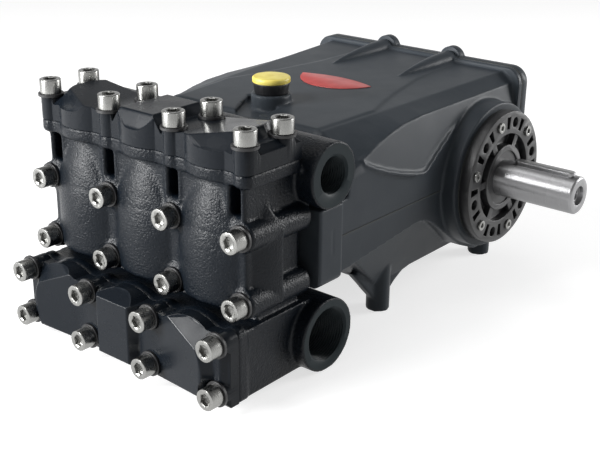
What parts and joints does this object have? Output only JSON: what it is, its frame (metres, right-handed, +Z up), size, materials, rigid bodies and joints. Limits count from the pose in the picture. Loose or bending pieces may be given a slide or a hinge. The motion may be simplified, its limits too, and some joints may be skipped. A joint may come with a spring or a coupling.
{
  "type": "triplex high-pressure plunger pump",
  "caption": "Triplex plunger pump: dark cast crankcase on four feet, keyed drive shaft, and a black manifold with bolted valve covers and threaded suction and delivery ports.",
  "frame": {"origin": "middle of the four foot bolts, on the plane of the feet", "axes": "+X along the crankshaft to its drive end, +Y to the rear cover, +Z up"},
  "size_m": [0.3734, 0.4409, 0.2153],
  "materials": {
    "crankcase_paint": "fine textured satin dark grey paint",
    "manifold_paint": "glossy black paint over a rough casting",
    "gasket": "thin black sealing sheet",
    "ground_steel": "turned and ground steel",
    "bearing_steel": "ground bearing steel",
    "seal_rubber": "satin moulded rubber",
    "black_plastic": "moulded black plastic",
    "yellow_plastic": "moulded yellow plastic",
    "red_plate": "satin red enamel, bare of lettering",
    "clear_glass": "clear",
    "aluminium": "turned",
    "zinc_steel": "zinc plated",
    "copper": "plain copper"
  },
  "bodies": {
    "pump": {"crankcase": "crankcase_paint", "rear_cover": "crankcase_paint", "rear_cover_gasket": "gasket", "shaft_bearing_cover": "crankcase_paint", "blind_bearing_cover": "crankcase_paint", "shaft_cover_gasket": "gasket", "blind_cover_gasket": "gasket", "shaft_side_bearing": "bearing_steel", "blind_side_bearing": "bearing_steel", "shaft_seal": "seal_rubber", "manifold": "manifold_paint", "delivery_valve_cover": "manifold_paint", "suction_valve_cover": "manifold_paint", "filler_plug": "black_plastic", "filler_cap": "yellow_plastic", "name_plate": "red_plate", "sight_glass": "clear_glass", "sight_glass_ring": "aluminium", "drain_plug": "zinc_steel", "drain_washer": "copper"},
    "crankshaft": {"crankshaft": "ground_steel", "shaft_key": "ground_steel"}
  },
  "joints": [
    {"name": "crankshaft_spin", "type": "hinge", "parent": "pump", "child": "crankshaft", "pos_m": [0, 0.03, 0.11], "axis": [1, 0, 0], "continuous": true}
  ]
}
